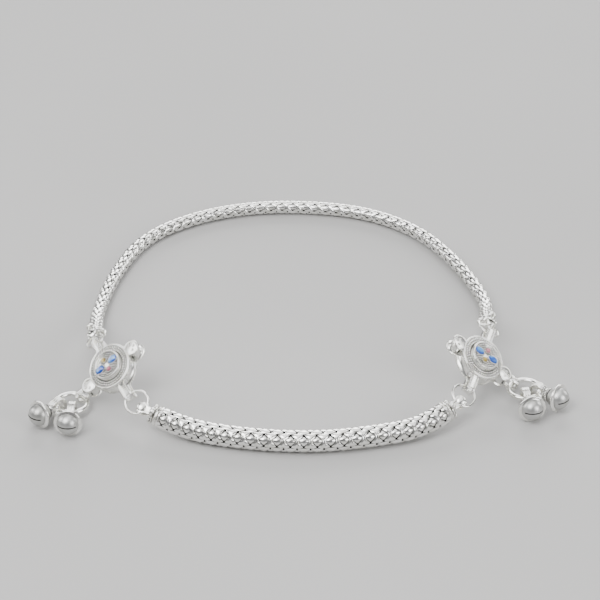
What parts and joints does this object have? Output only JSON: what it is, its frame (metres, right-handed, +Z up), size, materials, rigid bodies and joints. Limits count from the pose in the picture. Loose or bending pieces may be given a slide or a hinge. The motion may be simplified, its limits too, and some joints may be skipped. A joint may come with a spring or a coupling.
{
  "type": "payal anklet",
  "caption": "Silver ankle chain loop: a thick woven front chain and a finer back chain joined by stone-set medallions that carry small bells.",
  "frame": {"origin": "under the centre of the whole loop's box, on the surface that it lies on", "axes": "+Z up, out of the surface; the thick front chain lies towards -Y and the fine back chain towards +Y; +X to the right as seen from the front"},
  "size_m": [0.1022, 0.0822, 0.0122],
  "materials": {
    "silver": "bright cast and stamped silver, milgrained and pitted, grey in the recesses",
    "silver_chain": "bright woven silver links with dark gaps",
    "silver_bell": "smooth silver with a soft satin polish",
    "blue_stone": "faceted blue glass stone",
    "pink_stone": "faceted pink glass stone",
    "yellow_stone": "faceted yellow glass stone"
  },
  "bodies": {
    "root": {"back_cap_left": "silver", "back_cap_right": "silver", "back_chain": "silver_chain", "bell_left_inner": "silver_bell", "bell_left_outer": "silver_bell", "bell_right_inner": "silver_bell", "bell_right_outer": "silver_bell", "bell_ring_left": "silver", "bell_ring_right": "silver", "blue_stone_inner_left": "blue_stone", "blue_stone_inner_right": "blue_stone", "blue_stone_outer_left": "blue_stone", "blue_stone_outer_right": "blue_stone", "front_cap_left": "silver", "front_cap_right": "silver", "front_chain": "silver_chain", "jump_ring_back_left": "silver", "jump_ring_back_right": "silver", "jump_ring_front_left": "silver", "jump_ring_front_right": "silver", "medallion_left": "silver", "medallion_right": "silver", "pink_stone_left": "pink_stone", "pink_stone_right": "pink_stone", "yellow_stone_left": "yellow_stone", "yellow_stone_right": "yellow_stone"}
  },
  "joints": []
}
